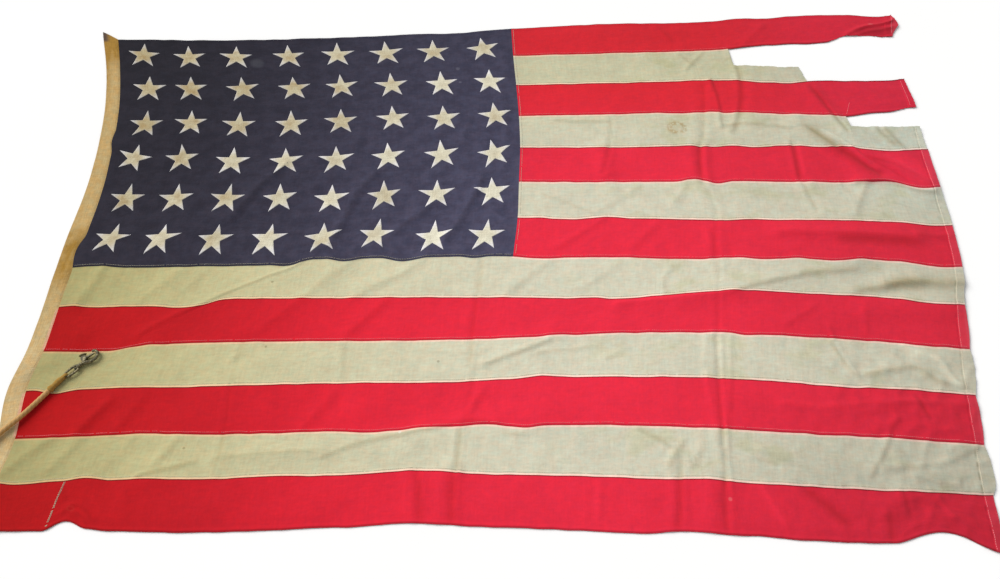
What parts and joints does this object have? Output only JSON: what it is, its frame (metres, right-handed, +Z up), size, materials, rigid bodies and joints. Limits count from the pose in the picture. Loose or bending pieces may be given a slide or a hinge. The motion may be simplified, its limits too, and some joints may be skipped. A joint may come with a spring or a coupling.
{
  "type": "flag",
  "caption": "Old bunting flag with sewn stripes and a star canton, laid flat, torn along the fly, with a canvas heading, a cord and a swivel snap hook.",
  "frame": {"origin": "middle of the cloth's box, on the surface that it lies on", "axes": "+X from the heading towards the fly, +Y towards the top edge, +Z up, off the cloth"},
  "size_m": [1.7527, 1.132, 0.0126],
  "materials": {
    "red_bunting": "matt wool bunting",
    "white_bunting": "matt aged wool bunting",
    "navy_bunting": "matt wool bunting",
    "tan_canvas": "matt stained canvas",
    "tan_cord": "matt laid rope",
    "dark_iron": "worn dark patina"
  },
  "bodies": {
    "flag": {"stripe_01": "red_bunting", "stripe_02": "white_bunting", "stripe_03": "red_bunting", "stripe_04": "white_bunting", "stripe_05": "red_bunting", "stripe_06": "white_bunting", "stripe_07": "red_bunting", "stripe_08": "white_bunting", "stripe_09": "red_bunting", "stripe_10": "white_bunting", "stripe_11": "red_bunting", "stripe_12": "white_bunting", "stripe_13": "red_bunting", "canton": "navy_bunting", "heading": "tan_canvas", "cord": "tan_cord", "snap_eye": "dark_iron", "snap_hook": "dark_iron"},
    "gate": {"snap_gate": "dark_iron"}
  },
  "joints": [
    {"name": "gate_hinge", "type": "hinge", "parent": "flag", "child": "gate", "pos_m": [-0.72536, -0.22061, 0.0062], "axis": [0, 0, -1], "range_deg": [0, 20], "stiffness_Nm_per_rad": 0.05}
  ]
}
